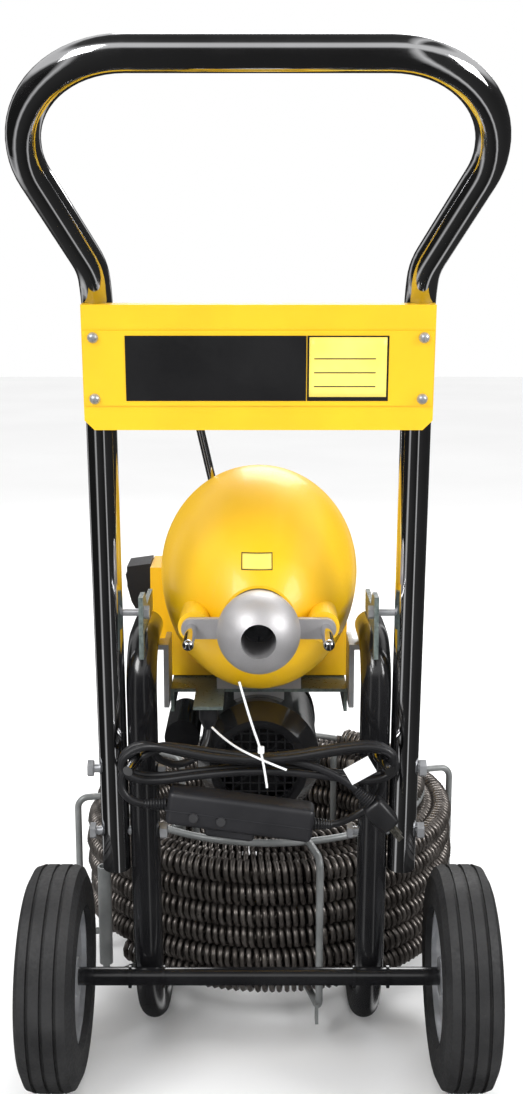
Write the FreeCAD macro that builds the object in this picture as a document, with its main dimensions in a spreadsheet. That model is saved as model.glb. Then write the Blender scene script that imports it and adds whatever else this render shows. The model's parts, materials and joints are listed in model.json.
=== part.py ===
"""A wheeled drain cleaning machine: bent tube frame, belt-driven hollow spindle, motor, cable carrier.

Lengths are in millimetres, +Z is up and the machine's front, where the nose is, looks along -Y.
Distances along Y are counted from the wheel axle; every sub-part's placement adds axle_y to them.
"""

import FreeCAD, Part
import math
import os
import re
import Sketcher

V = FreeCAD.Vector
doc = FreeCAD.newDocument("drain_machine")

SIZES = {
    "axle_y": -168, "axle_z": 127, "axle_radius": 10.5,
    "wheel_radius": 127, "wheel_width": 63, "wheel_x": 234.5, "rim_radius": 80, "hub_radius": 22,
    "running_gap": 0.05, "leg_x": 130, "leg_radius": 17, "upright_x": 164, "upright_radius": 16,
    "tube_wall": 2, "run_z": 523, "spindle_z": 555, "motor_z": 367, "motor_radius": 70,
    "ball_radius": 44.5, "ball_y": -60, "bore_radius": 18.5, "ear_x": 72, "pin_radius": 6,
    "spindle_radius": 25, "sheave_radius": 101, "pulley_radius": 43, "belt_y": 262, "belt_width": 16,
    "bed_z": 440, "bed_thick": 4, "hood_wall": 3, "panel_width": 355, "panel_height": 127,
    "lean": 5.9, "cord_radius": 4.2, "coil_radius": 256, "coil_inner": 172, "coil_x": 14,
    "coil_y": 342, "coil_base": 49, "coil_height": 177, "rod_radius": 4.5, "bolt_radius": 5,
}
sheet = doc.addObject("Spreadsheet::Sheet", "dims")
for line, (alias, number) in enumerate(SIZES.items(), start=1):
    sheet.set(f"A{line}", alias)
    sheet.set(f"B{line}", str(number))
    sheet.setAlias(f"B{line}", alias)
doc.recompute()

NAMES = re.compile(r"[a-z]+(?:_[a-z]+)+|lean")
TURNS = {"X": FreeCAD.Rotation(V(0, 1, 0), 90), "Y": FreeCAD.Rotation(V(1, 0, 0), -90), "Z": FreeCAD.Rotation()}
LIES = {  # for turned and flat bodies: which way the sketch's first axis and normal end up
    "X": FreeCAD.Rotation(), "Y": FreeCAD.Rotation(V(0, 0, 1), 90), "Z": FreeCAD.Rotation(V(0, 1, 0), -90),
}
subparts = []


def cells(text):
    """The expression with each of the sheet's names given its sheet."""
    return NAMES.sub(lambda found: "dims." + found[0], str(text))


def size(text):
    return float(sheet.evalExpression(cells(text)))


def place(item, at, rotation):
    item.Placement = FreeCAD.Placement(V(), rotation)
    for axis, text in zip("xyz", (at[0], f"axle_y + ({at[1]})", at[2])):
        item.setExpression(f".Placement.Base.{axis}", cells(text))
    return item


def solid(kind, at, rotation=TURNS["Z"], **sizes):
    item = doc.addObject(f"Part::{kind}", kind)
    for name, text in sizes.items():
        item.setExpression(name, cells(text))
    return place(item, at, rotation)


def rod(at, along, radius, length):
    return solid("Cylinder", at, TURNS[along], Radius=radius, Height=length)


def box(at, across, deep, high):
    return solid("Box", at, Length=across, Width=deep, Height=high)


def fuse(*items):
    whole = doc.addObject("Part::MultiFuse", "Fuse")
    whole.Shapes = list(items)
    return whole


def cut(base, *tools):
    whole = doc.addObject("Part::Cut", "Cut")
    whole.Base = base
    whole.Tool = tools[0] if len(tools) == 1 else fuse(*tools)
    return whole


def group(*items):
    whole = doc.addObject("Part::Compound", "Group")
    whole.Links = list(items)
    return whole


def outline(body, plane, points):
    """A closed sketch of straight lines, each corner held at two expressions."""
    sketch = body.newObject("Sketcher::SketchObject", "Outline")
    sketch.AttachmentSupport = [(next(f for f in body.Origin.OriginFeatures if f.Role == plane), "")]
    sketch.MapMode = "FlatFace"
    at = [[size(text) for text in point] for point in points]
    count = len(points)
    for i in range(count):
        sketch.addGeometry(Part.LineSegment(V(*at[i], 0), V(*at[(i + 1) % count], 0)))
    for i in range(count):
        sketch.addConstraint(Sketcher.Constraint("Coincident", i, 2, (i + 1) % count, 1))
        for kind, text, number in zip(("DistanceX", "DistanceY"), points[i], at[i]):
            held = sketch.addConstraint(Sketcher.Constraint(kind, -1, 1, i, 1, number))
            sketch.setExpression(f"Constraints[{held}]", cells(text))
    return sketch


def turned(along, at, points):
    """A body turned about an axis: points are (distance along it, radius)."""
    body = doc.addObject("PartDesign::Body", "Turned")
    sketch = outline(body, "XY_Plane", points)
    revolution = body.newObject("PartDesign::Revolution", "Revolution")
    revolution.Profile = sketch
    revolution.ReferenceAxis = (sketch, ["H_Axis"])
    revolution.Angle = 360
    return place(body, at, LIES[along])


def ring(along, at, length, outer, inner):
    return turned(along, at, [(0, inner), (length, inner), (length, outer), (0, outer)])


def plate(at, rotation, points, thickness):
    """A flat body padded from its outline in its own XY plane."""
    body = doc.addObject("PartDesign::Body", "Plate")
    pad = body.newObject("PartDesign::Pad", "Pad")
    pad.Profile = outline(body, "XY_Plane", points)
    pad.setExpression("Length", cells(thickness))
    return place(body, at, rotation)


def bent(points, arcs):
    """Straight runs joined by tangent arcs, one radius for each inner corner, as a wire."""
    at = [V(p[0], p[1] + size("axle_y"), p[2]) for p in points]
    edges, start = [], at[0]
    for before, corner, after, radius in zip(at, at[1:], at[2:], arcs):
        back, on = (before - corner).normalize(), (after - corner).normalize()
        half = back.getAngle(on) / 2
        reach = radius / math.tan(half)
        first, last = corner + back * reach, corner + on * reach
        middle = corner + (back + on).normalize() * (radius / math.sin(half) - radius)
        edges += [Part.LineSegment(start, first).toShape(), Part.Arc(first, middle, last).toShape()]
        start = last
    edges.append(Part.LineSegment(start, at[-1]).toShape())
    return Part.Wire([e for e in edges if e.Length > 1e-6])


def swept(points, arcs, radius):
    """A round bar along bent runs."""
    spine = doc.addObject("Part::Feature", "Spine")
    spine.Shape = bent(points, arcs)
    section = doc.addObject("Part::Circle", "Section")
    section.setExpression("Radius", cells(radius))
    way = V(*points[1]) - V(*points[0])
    start = V(*points[0]) + V(0, size("axle_y"), 0)
    section.Placement = FreeCAD.Placement(start, FreeCAD.Rotation(V(0, 0, 1), way))
    bar = doc.addObject("Part::Sweep", "Sweep")
    bar.Sections = [section]
    bar.Spine = (spine, [])
    bar.Solid = True
    return bar


def tube(points, arcs, radius):
    return cut(swept(points, arcs, radius), swept(points, arcs, f"{radius} - tube_wall"))


def cord_arcs(points):
    """As large an arc at each corner as its two runs allow."""
    at = [V(*p) for p in points]
    turns = [(b - a).getAngle(c - b) for a, b, c in zip(at, at[1:], at[2:])]
    runs = [(b - a).Length for a, b in zip(at, at[1:])]
    radii = [0.45 * min(r, q) / math.tan(t / 2) for r, q, t in zip(runs, runs[1:], turns)]
    print("cord radii", [round(r) for r in radii])
    return radii


def cord(points):
    run = doc.addObject("Part::Feature", "Cord")
    path = bent(points, cord_arcs(points))
    radius = size("cord_radius")
    start = path.Edges[0].Vertexes[0].Point
    ring_wire = Part.Wire(Part.makeCircle(radius, start, V(*points[1]) - V(*points[0])))
    run.Shape = path.makePipeShell([ring_wire], True, False)
    print("cord length", round(path.Length), "volume share", run.Shape.Volume / (math.pi * radius**2 * path.Length))
    return run


def keep(label, item):
    item.Label = label
    subparts.append(item)
    return item


def lean_y(z):
    """How far back the uprights' centre line is at a height: they lean towards the nose."""
    return 16.9 - (z - 256) * math.tan(math.radians(size("lean")))


# Frame: two legs that are skids on the floor, cross tube, rear stand, axle
LEG_BEND, RUN_BEND, HANDLE_TILT = 145, 50, math.radians(44.2)
BOLT_Z = (302, 380)
brackets, hooks = [], []
for side, x in (("left", -size("leg_x")), ("right", size("leg_x"))):
    leg = [(x, 560, 17), (x, lean_y(17), 17), (x, lean_y(523), 523), (x, 100, 523)]
    holes = [rod((x - 20, lean_y(z), z), "X", "bolt_radius", 40) for z in BOLT_Z]
    keep(f"{side}_leg", cut(tube(leg, [LEG_BEND, RUN_BEND], "leg_radius"), *holes))
    lug = [(-28, 516), (-16, 516), (-16, 541), (100, 541), (100, 566), (22, 566), (0, 585), (-28, 585)]
    inner = x - 5 if x > 0 else x
    upright = FreeCAD.Rotation(V(1, 1, 1), 120)
    brackets.append(cut(plate((inner, 0, 0), upright, lug, 5),
                                rod((inner - 1, -16, 566), "X", 4, 8)))
    sign = math.copysign(1, x)
    hook = [(x, -15, 412), (x, -45, 411), (x + sign * 10, -76, 406)]
    hooks.append(swept(hook, [30], 5.5))
keep("leg_brackets", group(*brackets))
keep("cord_hooks", group(*hooks))
keep("skid_plugs", group(*[rod((x, 560, 17), "Y", 16.5, 4) for x in (-130, 130)]))
cross_tube = rod((-112.5, 300, 17), "X", "leg_radius - 3", 225)
stand = [(-50, 300, 31.5), (-50, 300, 426), (50, 300, 426), (50, 300, 31.5)]
keep("rear_stand", fuse(cross_tube, tube(stand, [30, 30], "leg_radius - 4")))
keep("axle", rod((-262, 0, "axle_z"), "X", "axle_radius", 524))
collars = [ring("X", (x, 0, "axle_z"), 3, "axle_radius + 3", "axle_radius") for x in (-151, -112, 109, 148)]
collars += [ring("X", (x, 0, "axle_z"), 4, 17, "axle_radius") for x in (-260, 256)]
keep("axle_collars", group(*collars))

# Handle: uprights and loop are one bent tube
NECK_Y, NECK_Z, TOP_X, WIDE_X = -52, 901, 113, 211


def loop(x, up):
    return (x, NECK_Y - up * math.sin(HANDLE_TILT), NECK_Z + up * math.cos(HANDLE_TILT))


handle = [(-164, lean_y(256), 256), (-164, NECK_Y, NECK_Z), loop(-164, 45), loop(-WIDE_X, 172)]
handle += [loop(-WIDE_X, 289)]
handle += [(-p[0], p[1], p[2]) for p in reversed(handle)]
arcs = [55, 90, 90, 98]
keep("handle_tube", cut(tube(handle, arcs + arcs[::-1], "upright_radius"),
                        *[rod((x, lean_y(z), z), "X", "bolt_radius", 40)
                          for x in (-184, 144) for z in BOLT_Z]))


def hexagon(x, y, z, across, length):
    return solid("Prism", (x, y, z), TURNS["X"], Polygon=6, Circumradius=across / 1.732, Height=length)


bolts, nuts, spacers = [], [], []
for z in BOLT_Z:
    for x in (-187, 107):
        bolts.append(fuse(rod((x, lean_y(z), z), "X", "bolt_radius", 80), hexagon(x - 6, lean_y(z), z, 17, 6.4)))
        nuts.append(cut(hexagon(x + 74, lean_y(z), z, 17, 8), rod((x + 70, lean_y(z), z), "X", "bolt_radius", 20)))
for x, head in ((-148, -125), (119, 119)):
    spacers.append(fuse(rod((x, -16, 566), "X", 4, 29), hexagon(head, -16, 566, 13, 6)))
keep("frame_bolts", group(*bolts, *nuts, *spacers))

# Wheels: solid tyre with tread grooves, pressed rim with hub, plain bush
HALF = "wheel_width / 2"
for side, x in (("left", "-wheel_x"), ("right", "wheel_x")):
    tread = [(f"-{HALF}", "rim_radius"), (HALF, "rim_radius"), (HALF, "wheel_radius - 14"), (26, "wheel_radius - 3")]
    for groove in (15, 0, -15):
        tread += [(groove + 2, "wheel_radius"), (groove + 1.5, "wheel_radius - 3")]
        tread += [(groove - 1.5, "wheel_radius - 3"), (groove - 2, "wheel_radius")]
    tread += [(-26, "wheel_radius - 3"), (f"-{HALF}", "wheel_radius - 14")]
    keep(f"{side}_tyre", turned("X", (x, 0, "axle_z"), tread))
    out = -1 if side == "left" else 1
    rim = [(-25, "axle_radius + running_gap"), (20, "axle_radius + running_gap"), (20, "hub_radius"), (4, "hub_radius"),
           (0, "rim_radius - 12"), (-14, "rim_radius - 3"), (24, "rim_radius - 3"), (24, "rim_radius"), (-24, "rim_radius"),
           (-24, "rim_radius - 3"), (-18, "rim_radius - 3"), (-4, "rim_radius - 12"), (-4, "hub_radius"), (-25, "hub_radius")]
    keep(f"{side}_rim", turned("X", (x, 0, "axle_z"), [(out * a, b) for a, b in rim]))

# Panel in front of the uprights, its screws and two blank labels: all lean with the uprights
LEAN = FreeCAD.Rotation(V(1, 0, 0), 90 + size("lean"))
PANEL_Z = 835.5
panel_y = lean_y(PANEL_Z) - 18
front = [("-panel_width / 2", "panel_height / 2"), ("-panel_width / 2", "-panel_height / 2 + 10"),
         ("-panel_width / 2 + 10", "-panel_height / 2"), ("panel_width / 2 - 10", "-panel_height / 2"),
         ("panel_width / 2", "-panel_height / 2 + 10"), ("panel_width / 2", "panel_height / 2")]
hollow = [(f"({a}) * 0.988", f"({b}) * 0.968") for a, b in front]
tray = cut(plate((0, panel_y, PANEL_Z), LEAN, front, 16), plate((0, panel_y, PANEL_Z), LEAN, hollow, 14))
raised = [("-panel_width / 2 + 1", -38), ("panel_width / 2 - 1", -38), ("panel_width / 2 - 1", 38), ("-panel_width / 2 + 1", 38)]


def on_panel(x, up, out):
    """A point on the panel: across it, up it and out of its back plane."""
    return V(0, panel_y, PANEL_Z) + LEAN.multVec(V(x, up, out))


keep("control_panel", cut(fuse(tray, plate(on_panel(0, 0, 16), LEAN, raised, 1.5)),
                          swept(handle, arcs + arcs[::-1], "upright_radius + 0.3")))
labels = [plate(on_panel(0, 0, 17.5), LEAN, [(left, -33), (right, -33), (right, 33), (left, 33)], 0.5)
          for left, right in ((-134, 48), (49, 131))]
keep("panel_labels", group(*labels))
heads = []
for x in (-166, 166):
    for up in (-31, 31):
        face = on_panel(x, up, 17.5)
        heads.append(cut(solid("Sphere", tuple(face), Radius=5.5),
                         solid("Box", tuple(on_panel(x - 10, up - 10, -2.5)), LEAN, Length=20, Width=20, Height=20)))
keep("panel_screws", group(*heads))

# Bed, pedestals, bearings and the hollow spindle with its sheave
slot = box((-78, 246, "bed_z - 1"), 156, 36, 10)
bed = fuse(box((-105, 100, "bed_z"), 210, 210, "bed_thick"), box((-75, 30, "bed_z"), 34, 71, "bed_thick"),
           *[box((x, 100, "bed_z - 24"), 4, 210, 24) for x in (-105, 101)])
keep("bed_plate", cut(bed, slot))
hangers = [fuse(box((x, 70, "bed_z - 10"), 6, 60, 76), box((ledge, 70, 500), 26, 30, 6))
           for x, ledge in ((-111, -131), (105, 105))]
pedestals, races = [], []
bearings = (("front", 22, 100), ("rear", 205, 205))
for name, y, foot in bearings:
    body = fuse(ring("Y", (0, y, "spindle_z"), 18, 52, 40), box((-50, foot, "bed_z + 4"), 100, 18, 66))
    if name == "front":
        body = fuse(body, box((-50, y, 500), 100, 96, 10))
    pedestals.append(cut(body, rod((0, y - 1, "spindle_z"), "Y", 40, 20)))
    races.append(ring("Y", (0, y, "spindle_z"), 18, 40, "spindle_radius + running_gap"))
keep("bearing_pedestals", group(*pedestals))
keep("spindle_bearings", group(*races))
keep("spindle", ring("Y", (0, -2, "spindle_z"), 312, "spindle_radius", "bore_radius + 0.5"))
keep("clutch_jaws", cut(ring("Y", (0, -24, "spindle_z"), 22, 30, "bore_radius + 0.5"),
                        box((-31, -30, "spindle_z - 1"), 62, 40, 2), box((-1, -30, "spindle_z - 31"), 2, 40, 62)))


def grooved(inner, outer):
    """A pulley's half section with a groove for the belt, from its bore to its rim."""
    return [(0, inner), ("belt_width + 8", inner), ("belt_width + 8", outer), ("belt_width + 3", outer),
            (17, f"{outer} - 12"), (7, f"{outer} - 12"), (5, outer), (0, outer)]


web = ring("Y", (0, "belt_y - 13", "spindle_z"), 8, "sheave_radius - 18", 40)
keep("spindle_sheave", cut(turned("Y", (0, "belt_y - 12", "spindle_z"), grooved("spindle_radius", "sheave_radius")), web))
keep("thrust_sleeve", turned("Y", (0, 137, "spindle_z"), [
    (0, "spindle_radius + running_gap"), (44, "spindle_radius + running_gap"), (44, 31), (30, 31),
    (30, 27.5), (14, 27.5), (14, 31), (0, 31)]))

# Nose casting with ears, guide pins with ball ends
ball = solid("Sphere", (0, "ball_y", "spindle_z"), Radius="ball_radius")
ears = [rod((x, -47, "spindle_z"), "Y", 11, 9) for x in ("-ear_x", "ear_x")] + [box(("-ear_x", -47, "spindle_z - 11"), "2 * ear_x", 9, 22)]
nose = fuse(ball, rod((0, -30, "spindle_z"), "Y", 38, 52), *ears)
keep("nose_casting", cut(nose, rod((0, -120, "spindle_z"), "Y", "bore_radius", 160),
                         rod((0, -32, "spindle_z"), "Y", 33, 60)))
pins = [fuse(rod((x, -112, "spindle_z"), "Y", "pin_radius", 65), solid("Sphere", (x, -112, "spindle_z"), Radius="pin_radius"))
        for x in ("-ear_x", "ear_x")]
keep("guide_pins", group(*pins))

# Hoods: an egg-shaped dome lofted through ovals, and the belt guard behind it
STATIONS = ((-22, 41.5, 42, 42), (5, 68, 78, 70), (45, 93, 113, 93), (95, 110, 140, 107), (150, 118, 151, 110))


def dome(inset):
    """A loft through ovals: each is (place along Y, half width, height above the axis, depth below it)."""
    ovals = []
    for y, half, above, below in STATIONS:
        oval = doc.addObject("Part::Ellipse", "Oval")
        oval.MajorRadius = (above + below) / 2 - inset
        oval.MinorRadius = half - inset
        rotation = FreeCAD.Rotation(V(0, 0, 1), V(1, 0, 0), V(0, 1, 0), "ZXY")
        back = inset if y == 150 else 0
        ovals.append(place(oval, (0, y - back, f"spindle_z + {(above - below) / 2}"), rotation))
    shell = doc.addObject("Part::Loft", "Dome")
    shell.Sections = ovals
    shell.Solid = True
    return shell


pads = [rod((x, -37.5, "spindle_z"), "Y", 17, 75) for x in (-70, 70)]
keep("front_hood", cut(fuse(dome(0), *pads), dome(size("hood_wall")), box((-56, 94, 430), 112, 62, 60),
                       rod((0, 140, "spindle_z"), "Y", 98, 20)))


def arch(inset, start, length):
    """The belt guard's outline: flat lower sides under a round top."""
    wide = 110 - inset
    return fuse(rod((-3, start, 570), "Y", wide, length), box((-3 - wide, start, 446 - inset), 2 * wide, length, 124 + inset))


guard = cut(arch(0, 150.5, 140), arch(3, 153.5, 134),
            rod((0, 140, "spindle_z"), "Y", 98, 20), rod((0, 280, "spindle_z"), "Y", "spindle_radius + 3", 20),
            box((-85, 149, 640), 45, 60, 90))
keep("rear_guard", guard)
keep("switch_box", cut(box((-133, 168, 485), 19.8, 74, 92), box((-130, 171, 488), 24, 68, 86)))
boot = [(-29, 28), (0, 32), (0, -34), (-14, -34), (-24, -16), (-29, 4)]
UPRIGHT = FreeCAD.Rotation(V(1, 0, 0), 90)
pivot_hole = rod((-157.6, 205, 539.5), "Z", "2 + running_gap", 31)
keep("switch_housing", cut(plate((-133.5, 232, 548), UPRIGHT, boot, 54), box((-166, 190, 544), 12, 30, 22), pivot_hole))
keep("switch_rocker", fuse(plate((-157.6, 219, 555), UPRIGHT, [(0, 9), (0, -9), (-5, -9), (-8, 9)], 28),
                           rod((-157.6, 205, 540), "Z", 2, 30)))

# Clutch: pivot pin on a bracket, fork, lever rod with its grip
PIVOT = (167, 612)
keep("fork_bracket", cut(fuse(*[box((x, 155, "bed_z + 4"), 5, 24, 182) for x in (-67, 62)],
                              box((-67, 155, "bed_z + 4"), 134, 24, 5)),
                         rod((-70, *PIVOT), "X", "pin_radius", 140)))
keep("fork_pin", rod((-69, *PIVOT), "X", "pin_radius", 138))
arms = [fuse(box((x, 155, 549), 7, 12, 60), rod((tip, 159, 555), "X", 4, 9)) for x, tip in ((-43, -38), (36, 29))]
keep("clutch_fork", cut(fuse(rod((-46, *PIVOT), "X", 11, 92), *arms), rod((-60, *PIVOT), "X", "pin_radius + running_gap", 120)))
LEVER = [(-40, *PIVOT), (-90, 167, 834)]
keep("clutch_lever", cut(swept(LEVER, [], "bolt_radius"), rod((-60, *PIVOT), "X", 11, 120)))
keep("lever_grip", cut(solid("Sphere", (-91, 167, 838), Radius=15), swept(LEVER, [], "bolt_radius")))

# Motor: shell, bells, grille, stator, rotor with shaft and fan, pulley and belt
M = "motor_z"
keep("motor_shell", ring("Y", (0, 80, M), 140, "motor_radius", "motor_radius - 4"))
front_bell = turned("Y", (0, 40, M), [(0, 50), (0, 57), (28, "motor_radius + 2"), (40, "motor_radius + 2"),
                                                  (40, "motor_radius - 4"), (28, "motor_radius - 5"), (4, 50)])
keep("motor_bells", group(front_bell, ring("Y", (0, 220, M), 10, "motor_radius + 2", 17)))
bars = [box((-1 + k * 10, 44.5, "motor_z - 49"), 2, 2, 98) for k in range(-4, 5)]
bars += [box((-49, 44.5, f"motor_z - 1 + {k * 10}"), 98, 2, 2) for k in range(-4, 5)]
disc = rod((0, 44, M), "Y", 49.5, 3)
mesh = doc.addObject("Part::MultiCommon", "Mesh")
mesh.Shapes = [fuse(*bars), disc]
keep("fan_grille", fuse(mesh, ring("Y", (0, 44, M), 3, 50, 46.5)))
keep("motor_stator", ring("Y", (0, 105, M), 85, "motor_radius - 4", 43))
spider = fuse(ring("Y", (0, 82, M), 11, "motor_radius - 4", 58), ring("Y", (0, 82, M), 11, 20, 8.05),
                                 box((-64, 84, "motor_z - 4"), 46, 6, 8), box((18, 84, "motor_z - 4"), 46, 6, 8))
keep("motor_bearings", group(spider, ring("Y", (0, 219, M), 11, 17, 8.05)))
keep("motor_rotor", fuse(rod((0, 55, M), "Y", 8, 222), rod((0, 107, M), "Y", 42, 81)))
vanes = [solid("Box", (0, 56, M), FreeCAD.Rotation(V(0, 1, 0), turn), Length=42, Width=14, Height=2.5)
         for turn in range(0, 360, 45)]
keep("cooling_fan", cut(fuse(ring("Y", (0, 56, M), 14, 14, 8), ring("Y", (0, 68, M), 2, 42, 8), *vanes),
                        rod((0, 50, M), "Y", 8, 30)))
keep("motor_pulley", turned("Y", (0, "belt_y - 12", M), grooved("8", "pulley_radius")))


def belt_side(radius):
    """The stadium round both pulleys, for one distance outside their groove floors."""
    top, low = size("sheave_radius") - 12 + radius, size("pulley_radius") - 12 + radius
    gap = size("spindle_z - motor_z")
    tilt = math.asin((top - low) / gap)
    edge = V(math.cos(tilt), 0, math.sin(tilt) * -1)
    y = size("axle_y + belt_y") - 4
    high, down = V(0, y, size("spindle_z")), V(0, y, size("motor_z"))
    out = [V(s * edge.x, 0, edge.z) for s in (1, -1)]
    path = [Part.Arc(high + out[0] * top, high + V(0, 0, top), high + out[1] * top).toShape(),
            Part.makeLine(high + out[1] * top, down + out[1] * low),
            Part.Arc(down + out[1] * low, down + V(0, 0, -low), down + out[0] * low).toShape(),
            Part.makeLine(down + out[0] * low, high + out[0] * top)]
    return Part.Face(Part.Wire(path)).extrude(V(0, 8, 0))


belt = doc.addObject("Part::Feature", "Belt")
belt.Shape = belt_side(9).cut(belt_side(1.5))
keep("drive_belt", belt)
keep("capacitor_cover", cut(rod((-92, 95, 385), "Y", 21, 90), rod((0, 90, M), "Y", "motor_radius + 0.3", 100)))
keep("bed_mounts", group(*hangers, *[cut(box((-30, y, 430), 60, 16, 10), rod((0, y - 1, M), "Y", "motor_radius", 20)) for y in (100, 180)]))
keep("cord_gland", turned("Z", (-58, 44, 414), [(0, "cord_radius"), (26, "cord_radius"), (26, 11), (12, 11), (0, 6)]))

# Carrier of bent rods around the coil, sleeve and the wound drain cable
CENTRE = (size("coil_x"), size("coil_y"))


def around(angle, radius, z):
    """A point round the coil's centre; angle 0 is towards the nose."""
    turn = math.radians(angle)
    return (CENTRE[0] + radius * math.sin(turn), CENTRE[1] - radius * math.cos(turn), z)


rods = []
for angle in (13, 103, 193, 283):
    path = [around(angle, 150, 39), around(angle, 266, 39), around(angle, 266, 235), around(angle, 211, 235)]
    rods.append(swept(path, [12, 14], "rod_radius"))
    path = [around(angle + 40, 160, 39), around(angle + 40, 160, 235), around(angle + 40, 205, 235)]
    rods.append(swept(path, [14], "rod_radius"))
ring_at = (size("coil_x"), size("coil_y"), 235)
rods.append(swept([around(311, 155, 39), around(311, 279, 39), around(311, 279, 110)], [12], "rod_radius"))
hoops = [solid("Torus", (ring_at[0], ring_at[1], z), Radius1=r, Radius2="rod_radius") for r, z in ((211, 235), (155, 39))]
foot = box((around(13, 266, 0)[0] - 5, around(13, 266, 0)[1] - 12, 24), 4, 16, 26)
keep("cable_carrier", fuse(*rods, *hoops, foot))
keep("cable_sleeve", ring("Z", (*around(311, 279, 0)[:2], 60), 132, 8.5, 6.5))
coil_low = "coil_base"
coil = ring("Z", ("coil_x", "coil_y", coil_low), "coil_height", "coil_radius", "coil_inner")
keep("drain_cable", coil)
keep("cable_coupling", rod((-6, around(180, 187, 0)[1], 241.5), "X", 15, 40))

# Power cord: lead to the hank on the hooks, on through the protector box to the plug
HOOK_Z = 407
lead = [(-58, 44, 414), (-59, 38, 398), (-72, 16, 386), (-92, -10, 388), (-108, -27, 400), (-116, -38, 412)]
runs = [cord(lead)]
hank = fuse(box((-118, -62, HOOK_Z - 14), 236, 26, 34), *[rod((x, -62, HOOK_Z + 3), "Y", 30, 26) for x in (-118, 118)])
holes = [rod((x, -64, HOOK_Z - 2), "Y", 13, 40) for x in (-134, 134)]
keep("cord_hank", cut(hank, *holes))
BOX_TILT = FreeCAD.Rotation(V(0, 1, 0), 8)
shell = solid("Box", (-102, -72, 343), BOX_TILT, Length=160, Width=34, Height=38)
wells = []
for label, across in (("test_button", 30), ("reset_button", 60)):
    spot = V(-102, 0, 343) + BOX_TILT.multVec(V(across, 0, 13))
    wells.append(rod((spot.x, -75, spot.z), "Y", 5.4, 8))
    keep(label, rod((spot.x, -74.5, spot.z), "Y", 5, 4))
keep("protector_box", cut(shell, *wells))
runs.append(cord([(-146, -50, 400), (-152, -51, 384), (-146, -53, 368), (-128, -55, 360), (-101, -55, 361)]))
runs.append(cord([(56, -55, 338), (80, -49, 333), (104, -38, 338), (126, -34, 352), (137, -36, 372), (134, -42, 392)]))
runs.append(cord([(70, -46, 396), (88, -50, 390), (105, -55, 379), (121, -58, 364)]))
keep("power_cord", group(*runs))
TILT = FreeCAD.Rotation(V(0, 1, 0), 50)
blades = []
for k in (0, 1):
    corner = V(112, -67 + k * 12.7, 356) + TILT.multVec(V(36, 0, 9))
    blades.append(solid("Box", tuple(corner), TILT, Length=16, Width=1.6, Height=6.5))
keep("plug_blades", group(*blades))
keep("plug", solid("Box", (112, -70, 356), TILT, Length=36, Width=24, Height=24))
keep("cord_tag", solid("Box", (100, -80, 392), FreeCAD.Rotation(V(0, 1, 0), -30), Length=30, Width=1, Height=20))

doc.recompute()
faulty = [o.Label for o in doc.Objects if {"Invalid", "Error"} & set(o.State)]
for item in subparts:
    shape = item.Shape
    if shape.isNull() or not shape.isValid() or not shape.Solids:
        faulty.append(item.Label)
if faulty:
    raise RuntimeError(f"failed: {faulty}")
os.makedirs("parts", exist_ok=True)
for item in subparts:
    item.Shape.exportStep(f"parts/{item.Label}.step")
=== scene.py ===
"""Looks for the wheeled drain cleaning machine: materials, wound cable, power cord and trim, in metres."""

import json
import math

import bmesh
import bpy
from mathutils import Matrix, Vector
from mathutils.bvhtree import BVHTree


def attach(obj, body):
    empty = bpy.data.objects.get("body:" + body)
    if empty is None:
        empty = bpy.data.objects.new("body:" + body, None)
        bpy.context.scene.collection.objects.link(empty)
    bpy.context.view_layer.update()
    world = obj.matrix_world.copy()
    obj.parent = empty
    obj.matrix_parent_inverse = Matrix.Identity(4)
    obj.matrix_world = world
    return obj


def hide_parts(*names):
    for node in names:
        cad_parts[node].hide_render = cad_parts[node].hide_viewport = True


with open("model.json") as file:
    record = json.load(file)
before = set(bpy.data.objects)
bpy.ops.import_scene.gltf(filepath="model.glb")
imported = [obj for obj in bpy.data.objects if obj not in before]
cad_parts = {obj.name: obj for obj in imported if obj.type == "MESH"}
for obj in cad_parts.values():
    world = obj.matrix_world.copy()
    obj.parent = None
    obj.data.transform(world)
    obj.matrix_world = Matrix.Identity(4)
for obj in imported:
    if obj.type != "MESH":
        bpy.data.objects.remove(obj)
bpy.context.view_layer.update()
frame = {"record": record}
AXLE_Y = -0.168


def at(x, y, z):
    """A place given in millimetres, with y counted from the wheel axle."""
    return Vector((x / 1000, y / 1000 + AXLE_Y, z / 1000))


# Camera, floor and studio light
camera = bpy.data.objects.new("camera", bpy.data.cameras.new("camera"))
bpy.context.collection.objects.link(camera)
camera.data.sensor_width = 36
camera.data.lens = 44.65
CAMERA_PITCH = 11  # degrees below level
camera.location = at(3, -1454, 918)
camera.rotation_euler = (math.radians(90 - CAMERA_PITCH), 0, 0)
bpy.context.scene.camera = camera
bpy.context.scene.view_settings.view_transform = "Standard"


# Materials
def noise(tree, scale, detail=4.0):
    """A noise of one scale that sticks to the piece."""
    place = tree.nodes.new("ShaderNodeTexCoord")
    texture = tree.nodes.new("ShaderNodeTexNoise")
    texture.inputs["Scale"].default_value = scale
    texture.inputs["Detail"].default_value = detail
    tree.links.new(place.outputs["Object"], texture.inputs["Vector"])
    return texture.outputs["Fac"]


def spread(tree, source, low, high):
    """A noise's middle stretched between two values."""
    ramp = tree.nodes.new("ShaderNodeMapRange")
    ramp.inputs["From Min"].default_value = 0.3
    ramp.inputs["From Max"].default_value = 0.7
    ramp.inputs["To Min"].default_value = low
    ramp.inputs["To Max"].default_value = high
    tree.links.new(source, ramp.inputs["Value"])
    return ramp.outputs["Result"]


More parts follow.
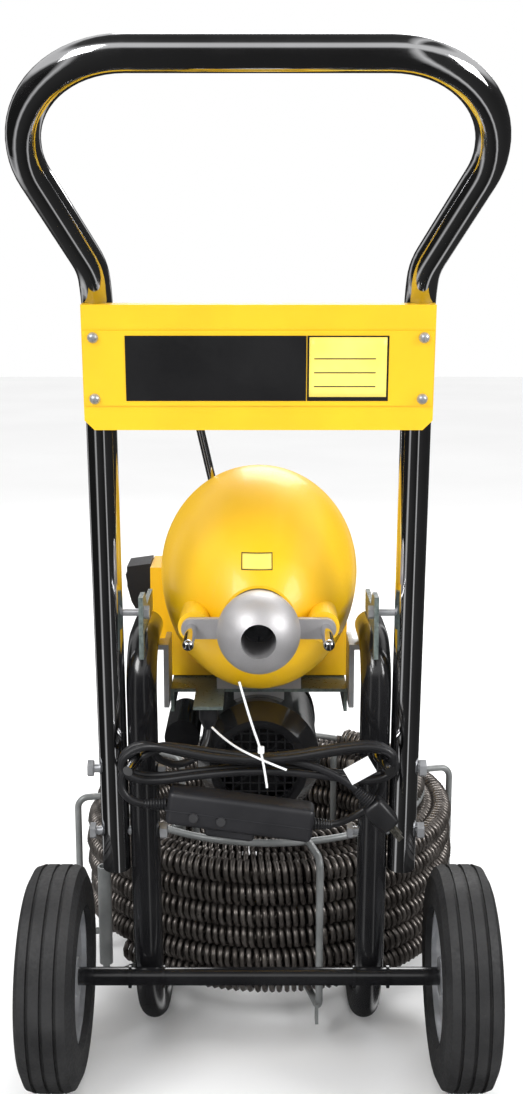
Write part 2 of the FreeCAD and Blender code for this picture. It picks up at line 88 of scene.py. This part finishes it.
def material(name, dark, light, rough, metal=0.0, coat=0.0, patch=14, grain=300, bump=0.1, depth=0.0002):
    """Colour drifts between two shades, roughness between two values, and a fine grain stands up."""
    made = bpy.data.materials.new(name)
    made.use_nodes = True
    tree = made.node_tree
    shader = tree.nodes["Principled BSDF"]
    shader.inputs["Metallic"].default_value = metal
    shader.inputs["Coat Weight"].default_value = coat
    shader.inputs["Coat Roughness"].default_value = 0.08
    patches = noise(tree, patch)
    ramp = tree.nodes.new("ShaderNodeValToRGB")
    ramp.color_ramp.elements[0].position = 0.35
    ramp.color_ramp.elements[0].color = (*dark, 1)
    ramp.color_ramp.elements[1].position = 0.65
    ramp.color_ramp.elements[1].color = (*light, 1)
    tree.links.new(patches, ramp.inputs["Fac"])
    tree.links.new(ramp.outputs["Color"], shader.inputs["Base Color"])
    grains = noise(tree, grain, 3)
    tree.links.new(spread(tree, grains, *rough), shader.inputs["Roughness"])
    raised = tree.nodes.new("ShaderNodeBump")
    raised.inputs["Strength"].default_value = bump
    raised.inputs["Distance"].default_value = depth
    tree.links.new(grains, raised.inputs["Height"])
    tree.links.new(raised.outputs["Normal"], shader.inputs["Normal"])
    return made


LOOKS = {
    "black_paint": dict(
        dark=(0.006, 0.006, 0.007), light=(0.011, 0.011, 0.012), rough=(0.16, 0.26),
        coat=0.6, grain=60, bump=0.05),
    "chrome": dict(
        dark=(0.50, 0.50, 0.51), light=(0.62, 0.62, 0.63), rough=(0.05, 0.12),
        metal=1, patch=6, grain=40, bump=0.03),
    "yellow_paint": dict(
        dark=(0.80, 0.46, 0.002), light=(0.84, 0.50, 0.003), rough=(0.34, 0.46),
        coat=0.15, grain=420, bump=0.12),
    "cast_aluminium": dict(
        dark=(0.50, 0.49, 0.50), light=(0.60, 0.59, 0.60), rough=(0.45, 0.6),
        metal=0.75, grain=700, bump=0.35),
    "zinc_steel": dict(
        dark=(0.42, 0.43, 0.45), light=(0.58, 0.59, 0.61), rough=(0.3, 0.5),
        metal=0.7, patch=40, grain=200),
    "hammer_paint": dict(
        dark=(0.07, 0.09, 0.085), light=(0.13, 0.16, 0.15), rough=(0.25, 0.45),
        patch=220, grain=220, bump=0.5, depth=0.0006),
    "grey_rod": dict(
        dark=(0.2, 0.21, 0.21), light=(0.3, 0.31, 0.31), rough=(0.3, 0.45),
        metal=0.3, patch=25, grain=200),
    "cast_iron": dict(
        dark=(0.05, 0.05, 0.05), light=(0.09, 0.09, 0.09), rough=(0.5, 0.7),
        metal=0.6, grain=500, bump=0.4),
    "oiled_steel": dict(
        dark=(0.10, 0.088, 0.08), light=(0.22, 0.2, 0.185), rough=(0.25, 0.42),
        metal=0.8, patch=60, grain=350),
    "tyre_rubber": dict(
        dark=(0.014, 0.014, 0.015), light=(0.026, 0.026, 0.027), rough=(0.55, 0.75),
        patch=20, grain=260, bump=0.3),
    "black_rubber": dict(
        dark=(0.009, 0.009, 0.01), light=(0.016, 0.016, 0.018), rough=(0.3, 0.45),
        grain=400),
    "black_plastic": dict(
        dark=(0.011, 0.011, 0.013), light=(0.02, 0.02, 0.023), rough=(0.35, 0.5),
        grain=900, bump=0.25),
    "coloured_button": dict(
        dark=(0.02, 0.02, 0.022), light=(0.035, 0.035, 0.037), rough=(0.3, 0.4),
        grain=300),
    "label": dict(
        dark=(0.008, 0.008, 0.009), light=(0.012, 0.012, 0.013), rough=(0.3, 0.4),
        grain=250, bump=0.05),
    "brass": dict(
        dark=(0.6, 0.58, 0.5), light=(0.75, 0.72, 0.64), rough=(0.2, 0.35),
        metal=1),
}
M = {slot: material(slot, **look) for slot, look in LOOKS.items()}
WHITE = material("white_plastic", (0.74, 0.75, 0.76), (0.84, 0.85, 0.86), (0.3, 0.42), grain=150, bump=0.05)
PALE = material("pale_label", (0.86, 0.66, 0.10), (0.93, 0.74, 0.16), (0.35, 0.45), grain=200, bump=0.05)
INK = material("ink_line", (0.01, 0.01, 0.01), (0.02, 0.02, 0.02), (0.4, 0.5))

slots = {item["node"]: item["material_slot"] for item in frame["record"]["subparts"]}
for name, slot in slots.items():
    node = bpy.data.objects[name]
    node.data.materials.clear()
    node.data.materials.append(M[slot])


# Helpers for the pieces that are made here
def finished(name, mesh, smooth=True):
    """The mesh as data that a piece can hold."""
    done = bpy.data.meshes.new(name)
    mesh.to_mesh(done)
    mesh.free()
    if smooth:
        done.shade_smooth()
    return done


def full_turn(sides):
    """Evenly spaced angles round a circle."""
    return [2 * math.pi * k / sides for k in range(sides)]


def skin(mesh, rings):
    """Faces from each ring of corners to the next, and over both ends."""
    sides = len(rings[0])
    for one, two in zip(rings, rings[1:]):
        for k in range(sides):
            mesh.faces.new((one[k], one[(k + 1) % sides], two[(k + 1) % sides], two[k]))
    mesh.faces.new(rings[0][::-1])
    mesh.faces.new(rings[-1])


def piece(name, mesh_or_curve, slot, body="frame", look=None):
    made = bpy.data.objects.new(name, mesh_or_curve)
    bpy.context.collection.objects.link(made)
    mesh_or_curve.materials.append(look or M[slot])
    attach(made, body)
    return made


def spline(name, points, radius=0.0, steps=6):
    """A smooth open line with the route's points as its control points."""
    line = bpy.data.curves.new(name, "CURVE")
    line.dimensions = "3D"
    line.resolution_u = steps
    line.bevel_depth = radius
    line.bevel_resolution = 4
    line.use_fill_caps = True
    run = line.splines.new("NURBS")
    run.points.add(len(points) - 1)
    for point, place in zip(run.points, points):
        point.co = (*place, 1)
    run.order_u = 3
    run.use_endpoint_u = True
    return line


def read_line(points, steps=6):
    """The places along the smooth line through a route."""
    helper = bpy.data.objects.new("route", spline("route", points, steps=steps))
    bpy.context.collection.objects.link(helper)
    mesh = bpy.data.meshes.new_from_object(helper.evaluated_get(bpy.context.evaluated_depsgraph_get()))
    found = [v.co.copy() for v in mesh.vertices]
    bpy.data.objects.remove(helper)
    return found


def tube_mesh(name, places, radius, sides):
    """A round skin along close places, turned without twist."""
    mesh = bmesh.new()
    across, rings = Vector((0, 0, 1)), []
    for i, place in enumerate(places):
        way = (places[min(i + 1, len(places) - 1)] - places[max(i - 1, 0)]).normalized()
        across = (across - way * across.dot(way)).normalized()
        other = way.cross(across)
        spokes = [across * math.cos(a) + other * math.sin(a) for a in full_turn(sides)]
        rings.append([mesh.verts.new(place + spoke * radius) for spoke in spokes])
    skin(mesh, rings)
    return finished(name, mesh)


def rounded_box(name, corner, turn, lengths, edge, slot, look=None):
    """A box from one corner along turned axes, with rounded edges."""
    mesh = bmesh.new()
    bmesh.ops.create_cube(mesh, size=1)
    for vertex in mesh.verts:
        vertex.co = corner + turn @ Vector([(c + 0.5) * side for c, side in zip(vertex.co, lengths)])
    bmesh.ops.bevel(mesh, geom=mesh.edges[:], offset=edge, segments=3, affect="EDGES", profile=0.5)
    return piece(name, finished(name, mesh), slot, look=look)


# Drain cable: a steel helix wound in three columns of six turns, each point worked out round the coil
CENTRE_X, CENTRE_Y = 14, 342  # of the coil, in millimetres
COLUMNS = (239, 214, 190)  # radius of each column, from the outside in
ROWS, LOWEST, ROW_STEP = 6, 66, 28.4
POINTS_PER_TURN, START_TURN = 24, 311
CROSSING = 0.2  # the share of a turn in which the cable moves to the next row or column
TAIL_RADIUS, TAIL_Z = 202, 241  # where the inner end comes up to its coupling
CABLE, WIRE, HELIX_STEP = 0.032, 0.0034, 0.0088


def around(angle, radius, z):
    """A place round the coil's centre; angle 0 is towards the nose."""
    turn = math.radians(angle)
    return at(CENTRE_X + radius * math.sin(turn), CENTRE_Y - radius * math.cos(turn), z)


def eased(share):
    """Nought up to the start of a crossing, then up to one at its end."""
    return min(1.0, max(0.0, (share - (1 - CROSSING)) / CROSSING))


def wound_route():
    """The cable's centre line from the outer turn at the bottom to the coupling."""
    route, total, last = [], len(COLUMNS) * ROWS, len(COLUMNS) - 1
    for i in range(total * POINTS_PER_TURN):
        turns = i / POINTS_PER_TURN
        column, row = min(int(turns // ROWS), last), turns % ROWS
        level = int(row) + (eased(row - int(row)) if int(row) < ROWS - 1 else 0.0)
        height = level if column % 2 == 0 else ROWS - 1 - level
        slide = eased(row - (ROWS - 1)) if column < last else 0.0
        radius = COLUMNS[column] + slide * (COLUMNS[min(column + 1, last)] - COLUMNS[column])
        loose = 1.5 * math.sin(2.3 * turns) + 1.0 * math.sin(5.1 * turns + 1)
        route.append(around(START_TURN + 360 * turns, radius + loose, LOWEST + ROW_STEP * height))
    top = LOWEST + ROW_STEP * (ROWS - 1)
    for step in range(1, 14):
        rise = min(1.0, step / 9)
        radius = COLUMNS[last] + (TAIL_RADIUS - COLUMNS[last]) * rise
        smooth = rise * rise * (3 - 2 * rise)
        route.append(around(START_TURN + 360 * total + 15 * step, radius, top + (TAIL_Z - top) * smooth))
    return route


def helix(places, radius, pitch, steps):
    """Places on a helix about a line."""
    found, turned_by, across = [], 0.0, Vector((0, 0, 1))
    spacing, carried, step_turn = pitch / steps, 0.0, 2 * math.pi / steps
    for one, two in zip(places, places[1:]):
        way, long = (two - one).normalized(), (two - one).length
        across = (across - way * across.dot(way)).normalized()
        other = way.cross(across)
        while carried < long:
            spoke = across * math.cos(turned_by) + other * math.sin(turned_by)
            found.append(one + way * carried + spoke * radius)
            turned_by += step_turn
            carried += spacing
        carried -= long
    return found


cable_line = read_line(wound_route(), 2)
WIRE_STEPS, WIRE_SIDES = 10, 6
wire = helix(cable_line, CABLE / 2 - WIRE, HELIX_STEP, WIRE_STEPS)
cable = piece("drain_cable_helix", tube_mesh("drain_cable_helix", wire, WIRE, WIRE_SIDES), "oiled_steel")
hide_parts("drain_cable")

# Power cord: gland, hank over both hooks, protector box, hank again, plug
LEAD = [(-58, 44, 414), (-59, 38, 398), (-72, 16, 386), (-92, -10, 388), (-108, -27, 400), (-116, -38, 412)]
FROM_BOX = [
    (56, -55, 338), (80, -49, 333), (104, -38, 338), (126, -34, 352), (137, -36, 372), (134, -42, 392)]
TO_BOX = [(-146, -50, 400), (-152, -51, 384), (-146, -53, 368), (-128, -55, 360), (-101, -55, 361)]
LAST = [
    (-104, -43, 425), (-50, -41, 415), (0, -46, 411), (40, -52, 409),
    (70, -52, 399), (88, -54, 390), (105, -56, 379), (121, -58, 364)]
ACROSS = [
    (-108, 426), (-50, 412), (20, 409), (92, 423), (130, 426),
    (150, 412), (148, 396), (122, 386), (60, 396), (0, 400)]
BACK = [(-60, 395), (-120, 386), (-147, 395), (-151, 411), (-132, 426)]
HALFWAY = ACROSS[:6]  # the last loop ends here and goes on to the protector box
hank = []
for y, drop, loop in ((-42, 0, ACROSS + BACK), (-50, -3, ACROSS + BACK), (-58, 2, HALFWAY)):
    hank += [(x, y, z + drop) for x, z in loop]
route = LEAD + hank + FROM_BOX[::-1] + [(0, -55, 347)] + TO_BOX[::-1] + LAST
cord_points = [at(*p) for p in route]
CORD = 0.0084
cord_line = read_line(cord_points)
lead_cord = piece("power_lead", spline("power_lead", cord_points, CORD / 2), "black_rubber")
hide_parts("power_cord", "cord_hank")

BOX_TURN = Matrix.Rotation(math.radians(8), 3, "Y")
PLASTIC = "black_plastic"
SHELL = (0.160, 0.034, 0.038)
protector = rounded_box("protector_shell", at(-102, -72, 343), BOX_TURN, SHELL, 0.006, PLASTIC)
rounded_box("protector_bulge", at(-60, -68, 328), BOX_TURN, (0.055, 0.026, 0.024), 0.005, PLASTIC)
rounded_box("protector_seam", at(-101.5, -72.4, 359), BOX_TURN, (0.159, 0.0348, 0.0016), 0.0004, PLASTIC)
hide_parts("protector_box")
PLUG_TURN = Matrix.Rotation(math.radians(50), 3, "Y")
plug = rounded_box("plug_body", at(112, -70, 356), PLUG_TURN, (0.036, 0.024, 0.024), 0.005, "black_rubber")
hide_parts("plug")


def relief(name, start, end, wide, narrow):
    """A tapered ribbed sleeve where the cord goes into a housing."""
    mesh = bmesh.new()
    way, steps, sides, rings = end - start, 24, 20, []
    groove, every = 0.0009, 3
    spin = way.to_track_quat("Z", "Y").to_matrix()
    for i in range(steps + 1):
        share = i / steps
        radius = wide + (narrow - wide) * share - (groove if i % every == every - 1 else 0)
        ring = [spin @ Vector((math.cos(a) * radius, math.sin(a) * radius, 0)) for a in full_turn(sides)]
        rings.append([mesh.verts.new(start + way * share + r) for r in ring])
    skin(mesh, rings)
    return piece(name, finished(name, mesh, smooth=False), "black_rubber")


THIN_END = 0.0052
reliefs = [relief("relief_in", at(-101, -55, 361), at(-126, -55, 360.5), 0.0075, THIN_END),
           relief("relief_out", at(54, -55, 338.5), at(79, -50, 334.5), 0.0075, THIN_END),
           relief("relief_plug", at(121, -58, 364), at(105, -56.2, 378), 0.0085, THIN_END)]
bpy.data.objects["cord_tag"].data.materials[0] = WHITE

# Two white cable ties and the head of one
TIES = {
    "hank_tie": ((-20, -100, 512), (-8, -84, 462), (4, -70, 424), (9, -67, 384)),
    "lead_tie": ((-52, -8, 432), (-34, -40, 425), (0, -66, 416), (30, -67, 404)),
}
TIE_RADIUS = 0.0013
for name, places in TIES.items():
    piece(name, spline(name, [at(*p) for p in places], TIE_RADIUS), "label", look=WHITE)
rounded_box("tie_head", at(-1, -73, 424), Matrix.Identity(3), (0.007, 0.005, 0.008), 0.0012, "label", WHITE)


# Blank stickers: a pale one beside the dark one on the panel, a small one laid on the dome
STICKER_THICK = 0.0002
AHEAD = -0.8  # in front of the whole machine, from where a sheet is pressed back


def laid(name, node, low, high, look, lift, columns=12, rows=6):
    """A thin sheet between two corners in X and Z, pressed back on to a node's front surface."""
    solid = bpy.data.objects[node]
    faces = [tuple(p.vertices) for p in solid.data.polygons]
    tree = BVHTree.FromPolygons([v.co for v in solid.data.vertices], faces)
    mesh = bmesh.new()
    grid = []
    for j in range(rows + 1):
        z = (low[1] + (high[1] - low[1]) * j / rows) / 1000
        line = []
        for i in range(columns + 1):
            x = (low[0] + (high[0] - low[0]) * i / columns) / 1000
            hit = tree.ray_cast(Vector((x, AHEAD, z)), Vector((0, 1, 0)))[0]
            line.append(mesh.verts.new(hit - Vector((0, lift, 0))))
        grid.append(line)
    for one, two in zip(grid, grid[1:]):
        for k in range(columns):
            mesh.faces.new((one[k], one[k + 1], two[k + 1], two[k]))
    made = piece(name, finished(name, mesh), "label", look=look)
    made.modifiers.new("thick", "SOLIDIFY").thickness = STICKER_THICK


laid("hood_sticker_edge", "front_hood", (-19, 612), (15, 629), INK, 0.0003)
laid("hood_sticker", "front_hood", (-18, 613), (14, 628), PALE, 0.0006)
laid("panel_pale_label", "panel_labels", (51, 805), (129, 865), PALE, 0.0004)
RULES, FIRST_RULE_Z, RULE_GAP = 3, 815, 14
for k in range(RULES):
    low = FIRST_RULE_Z + RULE_GAP * k
    laid(f"panel_rule_{k}", "panel_labels", (56, low), (118, low + 1), INK, 0.0007, rows=1)

# Floor and light
SPAN = 12
floor = bpy.data.objects.new("floor", bpy.data.meshes.new("floor"))
corners = [(-SPAN, -SPAN, 0), (SPAN, -SPAN, 0), (SPAN, SPAN, 0), (-SPAN, SPAN, 0)]
floor.data.from_pydata(corners, [], [(0, 1, 2, 3)])
bpy.context.collection.objects.link(floor)
floor.data.materials.append(
    material("pale_floor", (0.93, 0.93, 0.93), (0.96, 0.96, 0.96), (0.8, 0.9), patch=1, grain=20, bump=0.0))
floor.visible_glossy = False
world = bpy.data.worlds.new("studio")
bpy.context.scene.world = world
world.use_nodes = True
sky = world.node_tree
link = sky.links.new
plain_sky = sky.nodes["Background"]
plain_sky.inputs["Color"].default_value = (1, 1, 1, 1)
plain_sky.inputs["Strength"].default_value = 1.0
# Across and up: where the studio's bright strips stand, from 0 to 1, and how bright each place is
ACROSS_STRIPS = [
    (0, 0.02), (0.1, 0.02), (0.16, 0.9), (0.22, 0.05), (0.62, 0.02), (0.68, 1), (0.72, 0.05), (1, 0.03)]
UPWARD_STRIPS = [(0, 0.02), (0.5, 0.02), (0.66, 0.05), (0.74, 1), (0.86, 1), (0.92, 0.08), (1, 0.05)]


def bands(source, marks):
    """Bright and dark bands along one direction: pairs of place from 0 to 1 and brightness."""
    ramp = sky.nodes.new("ShaderNodeValToRGB")
    for place, _ in marks[1:-1]:
        ramp.color_ramp.elements.new(place)
    for element, (place, value) in zip(ramp.color_ramp.elements, marks):
        element.position = place
        element.color = (value, value, value, 1)
    centred = sky.nodes.new("ShaderNodeMapRange")
    centred.inputs["From Min"].default_value = -1
    link(source, centred.inputs["Value"])
    link(centred.outputs["Result"], ramp.inputs["Fac"])
    return ramp.outputs["Color"]


# What is seen as a reflection is a dark studio with bright strips; all else is lit by plain white
split = sky.nodes.new("ShaderNodeSeparateXYZ")
link(sky.nodes.new("ShaderNodeTexCoord").outputs["Generated"], split.inputs["Vector"])
strips = sky.nodes.new("ShaderNodeMath")
strips.operation = "MAXIMUM"
link(bands(split.outputs["X"], ACROSS_STRIPS), strips.inputs[0])
link(bands(split.outputs["Z"], UPWARD_STRIPS), strips.inputs[1])
studio = sky.nodes.new("ShaderNodeBackground")
link(strips.outputs["Value"], studio.inputs["Strength"])
mixed = sky.nodes.new("ShaderNodeMixShader")
link(sky.nodes.new("ShaderNodeLightPath").outputs["Is Glossy Ray"], mixed.inputs["Fac"])
link(plain_sky.outputs["Background"], mixed.inputs[1])
link(studio.outputs["Background"], mixed.inputs[2])
link(mixed.outputs["Shader"], sky.nodes["World Output"].inputs["Surface"])

LAMPS = {  # place, power in watts, width
    "key": ((-1.8, -2.2, 2.6), 60, 1.4),
    "side": ((2.4, -1.2, 1.8), 45, 1.2),
    "back": ((0.3, 2.4, 2.4), 45, 1.6),
}
AIM = Vector((0, 0, 0.5))
for name, (place, power, wide) in LAMPS.items():
    lamp = bpy.data.objects.new(name, bpy.data.lights.new(name, "AREA"))
    lamp.data.energy = power
    lamp.data.size = wide
    lamp.location = place
    lamp.rotation_euler = (AIM - Vector(place)).to_track_quat("-Z", "Y").to_euler()
    bpy.context.collection.objects.link(lamp)
